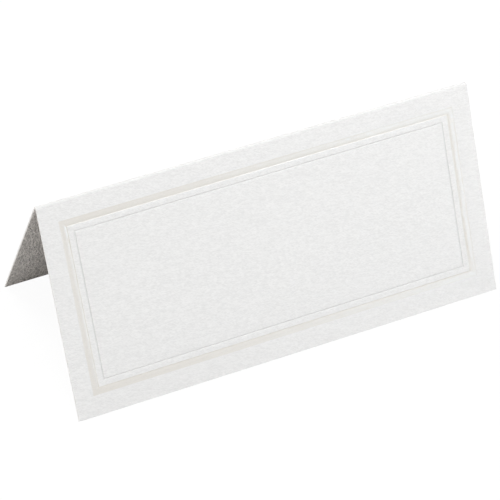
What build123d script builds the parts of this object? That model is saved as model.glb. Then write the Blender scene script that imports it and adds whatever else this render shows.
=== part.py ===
from build123d import *
import os
from math import cos, radians, sin, tan

# A folded place card: one sheet of heavy card, scored across its middle and folded into a tent.
# X runs along the fold and Z is up. The decorated panel faces -Y, and the card stands on Z = 0
# on the inner corners of its two feet. The origin is under the middle of the card.
# Lengths are in millimetres and angles in degrees.

# The flat sheet, before it is folded
card_width = 104.8
flat_length = 101.6
stock = 0.40
edge_round = 0.10

# The fold: the angle between the panels, the radius on its inside, and the bead that scoring raises there
opening_angle = 53.2
fold_inner_radius = 0.20
bead_radius = 0.25

# The bare margins round the pressed frame, from the cut sides, the fold and the foot
side_margin = 4.4
fold_margin = 4.0
foot_margin = 4.9

# The pressed frame's section, from its outer edge inwards: a shallow sunk band that carries the
# pearl ink, a fine groove, a flat strip, and a second fine groove round the writing panel
band_width = 1.36
band_depth = 0.02
band_bevel = 0.20
groove_width = 0.32
groove_depth = 0.16
strip_width = 1.28
strip_depth = 0.01

# On both sides of each groove the sheet rounds down to a lip, over a run and with a slight bulge
lip_depth = 0.05
lip_run = 0.40
lip_bulge = 0.006

# How far the pressing die stands over the sheet's face
die_reach = 0.10

# Derived sizes of the folded sheet. The sheet's middle layer keeps its flat length round the fold.
half_opening = radians(opening_angle / 2)
fold_turn = radians(180 - opening_angle)
fold_mid_radius = fold_inner_radius + stock / 2
straight_length = (flat_length - fold_mid_radius * fold_turn) / 2
panel_run = straight_length + fold_mid_radius * tan(fold_turn / 2)

# Where the middle layer's foot and the corner of its two panels lie, in the YZ plane. The foot is
# set so that its inner edge, once rounded, just touches the table.
foot_y = panel_run * sin(half_opening)
foot_z = stock / 2 * sin(half_opening) + edge_round * (1 - cos(half_opening) - sin(half_opening))
corner_z = foot_z + panel_run * cos(half_opening)
crease_z = corner_z - fold_mid_radius / sin(half_opening) + fold_inner_radius

# Directions on the front panel: up its slope, and straight out of its face
up_slope = Vector(0, sin(half_opening), cos(half_opening))
outward = Vector(0, -cos(half_opening), sin(half_opening))
foot_middle = Vector(0, -foot_y, foot_z)
outer_foot = foot_middle + outward * (stock / 2)
inner_foot = foot_middle - outward * (stock / 2)

# The pressed frame's outer outline on the panel, with X from its middle and Y up from its foot
frame_half_width = card_width / 2 - side_margin
frame_top = straight_length - fold_margin

# Where the frame's parts begin and end, counted inwards from its outer edge
strip_start = band_width + groove_width
strip_end = strip_start + strip_width
frame_end = strip_end + groove_width + lip_run


def frame_outline(face):
    """The frame's outer outline on a face of the front panel, begun in the middle of its foot side."""
    with BuildLine(face) as outline:
        Polyline(
            (0, foot_margin),
            (frame_half_width, foot_margin),
            (frame_half_width, frame_top),
            (-frame_half_width, frame_top),
            (-frame_half_width, foot_margin),
            close=True,
        )
    return outline.wire()


def draw_groove(start, height_before, height_after):
    """Draws a fine groove between its two rounded lips, inwards from a distance inside the outline."""
    end = start + groove_width
    SagittaArc((start - lip_run, height_before), (start, -lip_depth), lip_bulge)
    ThreePointArc((start, -lip_depth), (start + groove_width / 2, -groove_depth), (end, -lip_depth))
    SagittaArc((end, -lip_depth), (end + lip_run, height_after), lip_bulge)


def die_section(foot):
    """The pressing die's section at the middle of the frame's foot side: X inwards, Y out of the face."""
    section_plane = Plane(origin=foot + up_slope * foot_margin, x_dir=up_slope, z_dir=(1, 0, 0))
    with BuildSketch(section_plane) as section:
        with BuildLine():
            Polyline((0, 0), (band_bevel, -band_depth), (band_width - lip_run, -band_depth))
            draw_groove(band_width, -band_depth, -strip_depth)
            Line((strip_start + lip_run, -strip_depth), (strip_end - lip_run, -strip_depth))
            draw_groove(strip_end, -strip_depth, 0)
            Polyline((frame_end, 0), (frame_end, die_reach), (0, die_reach), (0, 0))
        make_face()
    return section.sketch


with BuildPart() as card:
    # The folded sheet's end view, drawn out to the card's width
    with BuildSketch(Plane.YZ):
        with BuildLine():
            FilletPolyline((-foot_y, foot_z), (0, corner_z), (foot_y, foot_z), radius=fold_mid_radius)
        trace(line_width=stock)
    extrude(amount=card_width / 2, both=True)

    # The cut edges of the sheet, at both sides and both feet, are slightly soft
    side_edges = card.faces().filter_by(Axis.X).edges()
    foot_edges = card.faces().sort_by(Axis.Z)[:2].edges().filter_by(Axis.X)
    fillet(side_edges + foot_edges, radius=edge_round)

    # The bead that the scoring rule left runs along the inside of the fold
    with BuildSketch(Plane.YZ):
        with Locations((0, crease_z)):
            Circle(bead_radius)
    extrude(amount=card_width / 2 - edge_round, both=True)

    # The pressed frame: sunk into the front face, and standing out as much behind it
    outer_face = Plane(origin=outer_foot, x_dir=(1, 0, 0), z_dir=outward)
    inner_face = Plane(origin=inner_foot, x_dir=(1, 0, 0), z_dir=outward)
    sweep(
        die_section(outer_foot),
        path=frame_outline(outer_face),
        transition=Transition.RIGHT,
        mode=Mode.SUBTRACT,
    )
    sweep(
        die_section(inner_foot),
        path=frame_outline(inner_face),
        transition=Transition.RIGHT,
        mode=Mode.ADD,
    )

card.part.label = "card"
os.makedirs("parts", exist_ok=True)
export_step(card.part, "parts/card.step")
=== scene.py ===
import math

import bpy
import numpy as np
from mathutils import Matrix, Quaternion, Vector


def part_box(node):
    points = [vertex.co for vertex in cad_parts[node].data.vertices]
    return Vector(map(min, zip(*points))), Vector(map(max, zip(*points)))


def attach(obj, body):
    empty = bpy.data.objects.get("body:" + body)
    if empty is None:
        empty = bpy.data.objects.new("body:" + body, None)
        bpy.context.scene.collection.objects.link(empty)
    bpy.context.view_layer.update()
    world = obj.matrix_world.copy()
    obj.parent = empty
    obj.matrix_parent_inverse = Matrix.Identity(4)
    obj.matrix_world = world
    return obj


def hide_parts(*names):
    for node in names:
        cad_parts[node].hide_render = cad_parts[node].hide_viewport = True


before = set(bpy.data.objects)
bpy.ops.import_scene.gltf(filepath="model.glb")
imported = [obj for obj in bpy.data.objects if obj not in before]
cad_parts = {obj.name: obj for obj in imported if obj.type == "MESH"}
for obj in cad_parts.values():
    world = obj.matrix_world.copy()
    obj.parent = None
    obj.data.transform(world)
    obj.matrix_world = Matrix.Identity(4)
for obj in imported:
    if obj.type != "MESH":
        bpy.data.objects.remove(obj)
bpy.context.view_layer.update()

# The looks of the folded place card: one sheet of white card with a felt-like surface, folded into a
# tent, with a pressed frame on its front panel whose outer band is inked in pearl.
# Blender's unit is the metre. Lengths named here are in millimetres and angles in degrees, unless a
# comment says otherwise.
MM = 0.001

# The corners of the CAD card's box, in metres
CARD_LOW, CARD_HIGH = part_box("card")

# The folded sheet. Its width comes from the CAD card's box, and the rest are the sheet's own driving
# sizes.
# The bead is what the scoring rule raised along the inside of the fold.
CARD_WIDTH = (CARD_HIGH.x - CARD_LOW.x) / MM
FLAT_LENGTH = 101.6
STOCK = 0.40
EDGE_ROUND = 0.10
OPENING_ANGLE = 53.2
FOLD_INNER_RADIUS = 0.20
BEAD_HEIGHT = 0.24
BEAD_REACH = 0.08

# The bare margins round the pressed frame, from the cut sides, the fold and the foot
SIDE_MARGIN = 4.4
FOLD_MARGIN = 4.0
FOOT_MARGIN = 4.9

# The frame's section, from its outer edge inwards: a sunk band with a bevelled edge, which runs down to
# the foot of a small step, the step's short rise to a flat strip, and a fine groove with a rounded lip
# on both sides. Behind the panel, most of this relief shows too.
BAND_BEVEL = 0.20
BAND_DEPTH = 0.02
RUN_START = 0.76
STEP_FOOT = 1.52
STEP_DEPTH = 0.085
STEP_RUN = 0.16
STRIP_DEPTH = 0.01
GROOVE_START = 2.96
GROOVE_WIDTH = 0.32
GROOVE_DEPTH = 0.16
LIP_DEPTH = 0.05
LIP_RUN = 0.40
INNER_RELIEF_SHARE = 0.9

# How finely the sheet's mesh is divided. The guard is a narrow row beside a form, which keeps the shading
# of the flat card next to it flat. The slack, a share of a step, keeps rounding errors from adding a row.
# Edges that turn by more than the sharp angle are shaded hard.
PANEL_STEP = 1.5
RELIEF_STEP = 0.22
BEVEL_STEP = 0.10
LIP_STEP = 0.08
GROOVE_STEP = 0.04
GUARD_STEP = 0.03
BEAD_STEP = BEAD_REACH / 4
FOLD_STEPS = 16
ROUND_STEPS = 5
STEP_SLACK = 1e-6
SHARP_ANGLE = 50

# The card's felt-like surface: each layer of fibres, by its turn from the fold's direction and the fibres'
# width and length. The inside is rougher, and the pearl ink has fine flakes.
FELT_GRAIN = ((-35, 0.22, 0.70), (0, 0.22, 0.70), (-10, 0.42, 1.20))
INSIDE_GRAIN = ((90, 0.42, 1.30), (65, 0.36, 1.00))
PEARL_GRAIN = (*FELT_GRAIN, (0, 0.14, 0.14))
FIBRE_DETAIL = 2.0
FIBRE_ROUGHNESS = 0.5

# Between these two heights of the surface, which go from 0 to 1, a look's colour goes from dark to light
RAMP_LOW = 0.4
RAMP_HIGH = 0.6

# The looks of the sheet: each one's colour, the share by which that wanders to both sides, how deep its
# surface is, and its grain. A look has bare card's roughness and shine unless it names its own.
WHITE = (1.0, 1.0, 1.0, 1.0)
CARD_ROUGHNESS = 0.85
CARD_SHINE = 0.25
LOOKS = {
    "card_paper": dict(colour=(0.860, 0.856, 0.849), spread=0.058, bump_depth=0.080, grain=FELT_GRAIN),
    # The inside is the same paper as the outside: its darker, warmer colour is painted shade of the tent's
    # inside, and its strong mottle is in part painted shade of grain under raking light
    "card_inside_painted_shade": dict(colour=(0.800, 0.774, 0.748), spread=0.235, bump_depth=0.900, grain=INSIDE_GRAIN),
    "pearl_ink": dict(
        colour=(0.776, 0.733, 0.674),
        spread=0.030,
        bump_depth=0.020,
        grain=PEARL_GRAIN,
        roughness=0.30,
        shine=1.00,
        shine_tint=(0.70, 0.86, 1.0, 1.0),
    ),
    # The groove's faces: their darker colour is partly the burnished fibres of the pressed line and partly
    # painted shade of the groove
    "pressed_line_and_shade": dict(
        colour=(0.735, 0.731, 0.725),
        spread=0.025,
        bump_depth=0.010,
        grain=FELT_GRAIN,
        roughness=0.35,
        shine=0.35,
    ),
    # The cut edge is the same paper as the faces: its lighter colour is painted light
    "cut_edge_painted_light": dict(colour=(0.940, 0.936, 0.926), spread=0.020, bump_depth=0.020, grain=FELT_GRAIN),
}
PAPER, SHADED_INSIDE, INK, LINE_AND_SHADE, LIT_EDGE = range(len(LOOKS))

# The table top: its half size in metres, how bright its white is, how much of a shadow it shows, and the
# colour of the light that it throws back up
FLOOR_HALF_SIZE = 2.0
FLOOR_GLOW = 0.955
FLOOR_SHADOW = (0.07, 0.07, 0.07)
FLOOR_BOUNCE = (0.66, 0.65, 0.64)

# How strong the soft white light from all round is
SOFT_LIGHT = 0.06

# Each lamp's name, place and size in metres, power in watts and colour
LAMPS = (
    ("front", (0, -1.56, 1.56), 1.0, 15.3, (1.0, 0.995, 0.99)),
    ("overhead", (0, 0, 2.2), 1.0, 8.0, (1.0, 1.0, 1.0)),
    ("back", (-0.60, 1.45, 1.10), 1.0, 19.0, (1.0, 1.0, 1.0)),
    ("left_low", (-1.50, -0.25, 0.20), 0.5, 7.3, (1.0, 0.95, 0.895)),
    ("near_top", (0.15, -0.15, 0.42), 0.15, 0.80, (1.0, 1.0, 1.0)),
    ("sheen", (0.44, -0.88, 0.13), 0.12, 0.75, (0.72, 0.87, 1.0)),
    ("front_low", (0.10, -1.50, 0.35), 0.6, 0.50, (1.0, 1.0, 1.0)),
)

# The camera, fitted to the photograph's 500 by 500 frame
FRAME_PIXELS = 500
FOCAL_PIXELS = 2745.9
SENSOR_WIDTH = 36
CAMERA_AZIMUTH = 25.961
CAMERA_ELEVATION = 44.508
CAMERA_ROLL = 1.962
CAMERA_DISTANCE = 632.94
CAMERA_TARGET = (0.36, 1.98, 10.45)

# Derived sizes of the folded sheet, whose middle layer keeps its flat length round the fold. Both angles
# are in radians.
HALF_OPENING = math.radians(OPENING_ANGLE / 2)
FOLD_TURN = math.pi - 2 * HALF_OPENING
FOLD_MID_RADIUS = FOLD_INNER_RADIUS + STOCK / 2
FOLD_LENGTH = FOLD_MID_RADIUS * FOLD_TURN
PANEL_LENGTH = (FLAT_LENGTH - FOLD_LENGTH) / 2
STEP_TOP = STEP_FOOT + STEP_RUN
LIP_START = GROOVE_START - LIP_RUN
GROOVE_END = GROOVE_START + GROOVE_WIDTH
FRAME_WIDTH = GROOVE_END + LIP_RUN

# The fold's centre lies in the card's middle plane, below the top of the crest
FOLD_CENTRE_Z = CARD_HIGH.z / MM - FOLD_MID_RADIUS - STOCK / 2


def smooth(value):
    """0 below 0, 1 above 1, and an even rise between."""
    t = np.clip(value, 0, 1)
    return t * t * (3 - 2 * t)


def frame_distance(across, along):
    """How far inside the frame's outer outline a point of the sheet lies, mitred at the corners."""
    side = CARD_WIDTH / 2 - SIDE_MARGIN - np.abs(across)
    foot = along - FOOT_MARGIN
    top = PANEL_LENGTH - FOLD_MARGIN - along
    return np.minimum(side, np.minimum(foot, top))


def frame_relief(inside):
    """The frame's height over the sheet, below 0 where it is sunk, at a distance inside its outline."""
    band = -BAND_DEPTH * np.clip(inside / BAND_BEVEL, 0, 1)
    run_down = np.clip((inside - RUN_START) / (STEP_FOOT - RUN_START), 0, 1) ** 2
    height = band - (STEP_DEPTH - BAND_DEPTH) * run_down
    height = height + (STEP_DEPTH - STRIP_DEPTH) * smooth((inside - STEP_FOOT) / STEP_RUN)
    groove_middle = GROOVE_START + GROOVE_WIDTH / 2
    height = np.where(inside < groove_middle, height, 0)
    from_middle = np.abs(inside - groove_middle)
    past_lip = (from_middle - GROOVE_WIDTH / 2) / LIP_RUN
    lip = height - (LIP_DEPTH + height) * np.clip(1 - past_lip, 0, 1) ** 2
    valley = LIP_DEPTH + (GROOVE_DEPTH - LIP_DEPTH) * (1 - (2 * from_middle / GROOVE_WIDTH) ** 2)
    return np.where(past_lip > 0, lip, -valley)


def frame_look(inside):
    """The look of the sheet's outer face at a distance inside the frame's outline."""
    # The groove takes the line look, which is darkened partly as painted shade
    in_shaded_line = (inside > GROOVE_START) & (inside < GROOVE_END)
    in_ink = (inside > 0) & (inside < STEP_TOP)
    return np.where(in_shaded_line, LINE_AND_SHADE, np.where(in_ink, INK, PAPER))


def spaced(start, end, step):
    """Even steps from start up to but without end, none longer than step."""
    count = max(1, math.ceil((end - start) / step - STEP_SLACK))
    return list(np.linspace(start, end, count + 1)[:-1])


def frame_lines():
    """Distances inside the frame's outline at which its section needs an edge."""
    stretches = (
        (0, BAND_BEVEL, BEVEL_STEP),
        (BAND_BEVEL, RUN_START, RELIEF_STEP),
        (RUN_START, STEP_FOOT, LIP_STEP),
        (STEP_FOOT, STEP_TOP, GROOVE_STEP),
        (STEP_TOP, LIP_START, RELIEF_STEP),
        (LIP_START, GROOVE_START, LIP_STEP),
        (GROOVE_START, GROOVE_END, GROOVE_STEP),
        (GROOVE_END, FRAME_WIDTH, LIP_STEP),
    )
    lines = [-GUARD_STEP]
    for start, end, step in stretches:
        lines += spaced(start, end, step)
    return lines + [FRAME_WIDTH, FRAME_WIDTH + GUARD_STEP]


def across_lines():
    """Places across the card, from its left side to its right, at which the mesh has an edge."""
    edge = CARD_WIDTH / 2
    inside = [-edge + SIDE_MARGIN + line for line in frame_lines()]
    soft = -edge + EDGE_ROUND
    left = [soft] + spaced(soft + GUARD_STEP, inside[0], PANEL_STEP) + inside
    half = left + spaced(left[-1], 0, PANEL_STEP)[1:]
    return np.array(half + [0] + [-place for place in reversed(half)])


def along_lines():
    """Distances along the sheet from its front foot, over the fold, to its rear foot."""
    top = PANEL_LENGTH - FOLD_MARGIN
    low_side = [FOOT_MARGIN + line for line in frame_lines()]
    high_side = [top - line for line in reversed(frame_lines())]
    lines = [EDGE_ROUND] + spaced(EDGE_ROUND + GUARD_STEP, low_side[0], PANEL_STEP) + low_side
    lines += spaced(low_side[-1], high_side[0], PANEL_STEP)[1:] + high_side
    lines += spaced(lines[-1], PANEL_LENGTH - BEAD_REACH, PANEL_STEP)[1:]
    lines += spaced(PANEL_LENGTH - BEAD_REACH, PANEL_LENGTH, BEAD_STEP)
    lines += list(np.linspace(PANEL_LENGTH, PANEL_LENGTH + FOLD_LENGTH, FOLD_STEPS + 1))
    rear_start = FLAT_LENGTH - PANEL_LENGTH
    rear_soft = FLAT_LENGTH - EDGE_ROUND
    lines += spaced(rear_start, rear_start + BEAD_REACH, BEAD_STEP)[1:]
    lines += spaced(rear_start + BEAD_REACH, rear_soft - GUARD_STEP, PANEL_STEP)
    return np.array(lines + [rear_soft - GUARD_STEP, rear_soft])


def folded(across, along, outward):
    """Places, in metres, of points given across the flat sheet, along it and outward from its middle."""
    turn = HALF_OPENING + np.clip((along - PANEL_LENGTH) / FOLD_MID_RADIUS, 0, FOLD_TURN)
    past_fold = np.minimum(along - PANEL_LENGTH, 0) + np.maximum(along - PANEL_LENGTH - FOLD_LENGTH, 0)
    normal_y, normal_z = -np.cos(turn), np.sin(turn)
    reach = FOLD_MID_RADIUS + outward
    y = normal_y * reach + past_fold * normal_z
    z = normal_z * reach - past_fold * normal_y + FOLD_CENTRE_Z
    return np.stack([across, y, z], axis=-1) * MM


def bead(along):
    """How far the scored bead stands out of the inside of the fold."""
    from_fold = np.abs(along - FLAT_LENGTH / 2) - FOLD_LENGTH / 2
    return BEAD_HEIGHT * smooth(1 - from_fold / BEAD_REACH)


def side_faces(columns, rows, front_looks):
    """The faces of the sheet's two sides, an outer and an inner one by turns, and their looks."""
    per_side = columns * rows
    faces, looks = [], []
    for row in range(rows - 1):
        for column in range(columns - 1):
            first = row * columns + column
            quad = (first, first + 1, first + columns + 1, first + columns)
            faces += [quad, tuple(per_side + corner for corner in reversed(quad))]
            # Every inner face takes the inside look, whose darker, warmer colour is painted shade
            looks += [int(front_looks[row, column]), SHADED_INSIDE]
    return faces, looks


def rim_loop(columns, rows):
    """The numbers of the outer side's points once round the edge of the sheet."""
    loop = list(range(columns))
    loop += [row * columns + columns - 1 for row in range(1, rows)]
    loop += [(rows - 1) * columns + column for column in range(columns - 2, -1, -1)]
    loop += [row * columns for row in range(rows - 2, 0, -1)]
    return np.array(loop)


def rim_section():
    """The cut edge's two soft corners, outer one first, as distances past the flat face and heights."""
    turns = np.linspace(0, math.pi / 2, ROUND_STEPS + 1)[1:]
    corner = [(EDGE_ROUND * math.sin(t), STOCK / 2 - EDGE_ROUND * (1 - math.cos(t))) for t in turns]
    return corner + [(out, -height) for out, height in reversed(corner)]


def sheet_mesh():
    """The sheet as one closed mesh: its points as on the flat sheet, its faces and each face's look."""
    across, along = across_lines(), along_lines()
    columns, rows = len(across), len(along)
    grid_x, grid_v = np.meshgrid(across, along)
    relief = frame_relief(frame_distance(grid_x, grid_v))
    outer = np.stack([grid_x, grid_v, STOCK / 2 + relief], axis=-1)
    inner_height = -STOCK / 2 + INNER_RELIEF_SHARE * relief - bead(grid_v)
    inner = np.stack([grid_x, grid_v, inner_height], axis=-1)
    points = [outer.reshape(-1, 3), inner.reshape(-1, 3)]

    middle_x = (across[:-1] + across[1:]) / 2
    middle_v = (along[:-1] + along[1:]) / 2
    front_looks = frame_look(frame_distance(*np.meshgrid(middle_x, middle_v)))
    faces, looks = side_faces(columns, rows, front_looks)

    # The rim has rings of points round the cut edge, and follows the bead towards its inner corner
    loop = rim_loop(columns, rows)
    loop_x, loop_v = grid_x.ravel()[loop], grid_v.ravel()[loop]
    side_x = np.where(np.isin(loop_x, across[[0, -1]]), np.sign(loop_x), 0)
    side_v = np.where(loop_v == along[0], -1, np.where(loop_v == along[-1], 1, 0))
    bead_out = bead(loop_v)
    rings = [loop]
    next_point = 2 * columns * rows
    for out, height in rim_section():
        inner_share = 0.5 - height / STOCK
        depth = height - bead_out * inner_share
        points.append(np.stack([loop_x + side_x * out, loop_v + side_v * out, depth], axis=-1))
        rings.append(next_point + np.arange(len(loop)))
        next_point += len(loop)
    rings.append(loop + columns * rows)

    # The rim's outer corner belongs to the outer face, and the rest of it is the cut edge, whose lighter
    # colour than the card's is painted light
    ring_looks = [PAPER] * ROUND_STEPS + [LIT_EDGE] * (len(rings) - 1 - ROUND_STEPS)
    for first, second, look in zip(rings, rings[1:], ring_looks):
        for corners in zip(first, second, np.roll(second, -1), np.roll(first, -1)):
            faces.append(tuple(int(corner) for corner in corners))
            looks.append(look)
    return np.concatenate(points), faces, looks


def shader_node(tree, kind, settings=(), **inputs):
    """Adds a node to a tree. Its inputs are values or other nodes' outputs, named with _ for a space."""
    made = tree.nodes.new(kind)
    for name, value in dict(settings).items():
        setattr(made, name, value)
    for name, value in inputs.items():
        socket = made.inputs[name.replace("_", " ")]
        if isinstance(value, bpy.types.NodeSocket):
            tree.links.new(value, socket)
        else:
            socket.default_value = value
    return made


def joined(tree, made, first, second, start=0):
    """Links two outputs to a node's inputs from number start on, and gives the node's own output."""
    tree.links.new(first, made.inputs[start])
    tree.links.new(second, made.inputs[start + 1])
    return made.outputs[0]


def new_material(name):
    """An empty node material and its tree, with an output node."""
    material = bpy.data.materials.new(name)
    material.use_nodes = True
    tree = material.node_tree
    tree.nodes.clear()
    return material, tree, tree.nodes.new("ShaderNodeOutputMaterial")


def fibres(tree, place, turn, width, length):
    """Noise drawn out into short fibres, which lie at a turn from the fold's direction."""
    laid = shader_node(
        tree,
        "ShaderNodeMapping",
        {"vector_type": "TEXTURE"},
        Vector=place,
        Rotation=(0, 0, math.radians(turn)),
        Scale=(length / width, 1, 1),
    )
    noise = shader_node(
        tree,
        "ShaderNodeTexNoise",
        Vector=laid.outputs[0],
        Scale=1 / (width * MM),
        Detail=FIBRE_DETAIL,
        Roughness=FIBRE_ROUGHNESS,
    )
    return noise.outputs[0]


def sheet_place(tree):
    """Where a point lies on the flat sheet, so that the card's surface follows it over the fold."""
    return shader_node(tree, "ShaderNodeAttribute", {"attribute_name": "flat_sheet"}).outputs["Vector"]


def mixed(tree, first, second, share):
    """A plain mix of two numbers."""
    made = shader_node(tree, "ShaderNodeMix", {"data_type": "FLOAT"}, Factor=share, A=first, B=second)
    return made.outputs[0]


def felt_height(tree, place, grain):
    """The card's felt-like surface, as an even mix of its layers of fibres."""
    height = fibres(tree, place, *grain[0])
    for count, layer in enumerate(grain[1:], start=2):
        height = mixed(tree, height, fibres(tree, place, *layer), 1 / count)
    return height


def wandering_colour(tree, height, colour, spread):
    """A colour that wanders with the surface, darker where it is low and lighter where it is high."""
    ramp = shader_node(tree, "ShaderNodeValToRGB", Fac=height)
    dark, light = ramp.color_ramp.elements
    for element, position, factor in ((dark, RAMP_LOW, 1 - spread), (light, RAMP_HIGH, 1 + spread)):
        element.position = position
        element.color = (*(part * factor for part in colour), 1)
    return ramp.outputs["Color"]


def card_material(
    name, colour, spread, bump_depth, grain, roughness=CARD_ROUGHNESS, shine=CARD_SHINE, shine_tint=WHITE
):
    """One look of the card: a colour over a felt-like surface, with the shine of bare card or its own."""
    material, tree, output = new_material(name)
    height = felt_height(tree, sheet_place(tree), grain)
    bump = shader_node(tree, "ShaderNodeBump", Height=height, Strength=1.0, Distance=bump_depth * MM)
    shader = shader_node(
        tree,
        "ShaderNodeBsdfPrincipled",
        Base_Color=wandering_colour(tree, height, colour, spread),
        Roughness=roughness,
        Specular_IOR_Level=shine,
        Specular_Tint=shine_tint,
        Normal=bump.outputs[0],
    )
    tree.links.new(shader.outputs[0], output.inputs["Surface"])
    return material


def make_sheet():
    """The card itself, which stands for the CAD node."""
    flat_points, faces, looks = sheet_mesh()
    mesh = bpy.data.meshes.new("card_sheet")
    mesh.from_pydata([tuple(point) for point in folded(*flat_points.T)], [], faces)
    flat_sheet = mesh.attributes.new("flat_sheet", "FLOAT_VECTOR", "POINT")
    flat_sheet.data.foreach_set("vector", (flat_points * MM).ravel())
    mesh.polygons.foreach_set("material_index", looks)
    mesh.polygons.foreach_set("use_smooth", [True] * len(faces))
    mesh.set_sharp_from_angle(angle=math.radians(SHARP_ANGLE))
    mesh.update()
    sheet = bpy.data.objects.new("card_sheet", mesh)
    bpy.context.scene.collection.objects.link(sheet)
    for name, look in LOOKS.items():
        mesh.materials.append(card_material(name, **look))
    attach(sheet, "root")
    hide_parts("card")


def larger(tree, first, second):
    """The larger of two numbers."""
    return joined(tree, shader_node(tree, "ShaderNodeMath", {"operation": "MAXIMUM"}), first, second)


def lit_or_seen(tree, lit, seen):
    """One shader for light rays, and one for what the camera, a reflection or glass sees directly."""
    path = shader_node(tree, "ShaderNodeLightPath").outputs
    mirrored = larger(tree, path["Is Glossy Ray"], path["Is Transmission Ray"])
    seen_directly = larger(tree, path["Is Camera Ray"], mirrored)
    choice = shader_node(tree, "ShaderNodeMixShader", Fac=seen_directly)
    return joined(tree, choice, lit, seen, start=1)


def make_floor():
    """A white table top that throws light back up, and keeps a faint shadow."""
    half = FLOOR_HALF_SIZE
    mesh = bpy.data.meshes.new("floor")
    corners = [(-half, -half, 0), (half, -half, 0), (half, half, 0), (-half, half, 0)]
    mesh.from_pydata(corners, [], [(0, 1, 2, 3)])
    floor = bpy.data.objects.new("floor", mesh)
    bpy.context.scene.collection.objects.link(floor)
    material, tree, output = new_material("floor_white")
    table = shader_node(tree, "ShaderNodeBsdfDiffuse", Color=(*FLOOR_BOUNCE, 1))
    shadowed = shader_node(tree, "ShaderNodeBsdfDiffuse", Color=(*FLOOR_SHADOW, 1))
    white = shader_node(tree, "ShaderNodeEmission", Strength=FLOOR_GLOW)
    both = shader_node(tree, "ShaderNodeAddShader")
    seen = joined(tree, both, shadowed.outputs[0], white.outputs[0])
    tree.links.new(lit_or_seen(tree, table.outputs[0], seen), output.inputs["Surface"])
    mesh.materials.append(material)


def make_world():
    """Soft light from all round, with plain white behind everything."""
    world = bpy.data.worlds.new("studio")
    world.use_nodes = True
    tree = world.node_tree
    tree.nodes.clear()
    light = shader_node(tree, "ShaderNodeBackground", Color=WHITE, Strength=SOFT_LIGHT)
    white = shader_node(tree, "ShaderNodeBackground", Color=WHITE, Strength=1)
    output = tree.nodes.new("ShaderNodeOutputWorld")
    tree.links.new(lit_or_seen(tree, light.outputs[0], white.outputs[0]), output.inputs["Surface"])
    bpy.context.scene.world = world


def make_lamp(name, place, size, power, colour):
    """A square soft light, turned to the card."""
    light = bpy.data.lights.new(name, "AREA")
    light.size = size
    light.energy = power
    light.color = colour
    lamp = bpy.data.objects.new(name, light)
    lamp.location = place
    aim = (CARD_LOW + CARD_HIGH) / 2 - Vector(place)
    lamp.rotation_euler = aim.to_track_quat("-Z", "Y").to_euler()
    lamp.visible_camera = False
    bpy.context.scene.collection.objects.link(lamp)


def make_camera():
    """The photograph's camera, from its direction, roll and distance."""
    azimuth, elevation = math.radians(CAMERA_AZIMUTH), math.radians(CAMERA_ELEVATION)
    level = math.cos(elevation)
    ahead = Vector((math.sin(azimuth) * level, math.cos(azimuth) * level, -math.sin(elevation)))
    lens = bpy.data.cameras.new("camera")
    lens.sensor_width = SENSOR_WIDTH
    lens.lens = FOCAL_PIXELS / FRAME_PIXELS * SENSOR_WIDTH
    camera = bpy.data.objects.new("camera", lens)
    camera.location = (Vector(CAMERA_TARGET) - ahead * CAMERA_DISTANCE) * MM
    camera.rotation_mode = "QUATERNION"
    upright = ahead.to_track_quat("-Z", "Y")
    camera.rotation_quaternion = upright @ Quaternion((0, 0, 1), math.radians(CAMERA_ROLL))
    bpy.context.scene.collection.objects.link(camera)
    bpy.context.scene.camera = camera


make_sheet()
make_floor()
make_world()
for lamp_facts in LAMPS:
    make_lamp(*lamp_facts)
make_camera()
bpy.context.scene.view_settings.view_transform = "Standard"
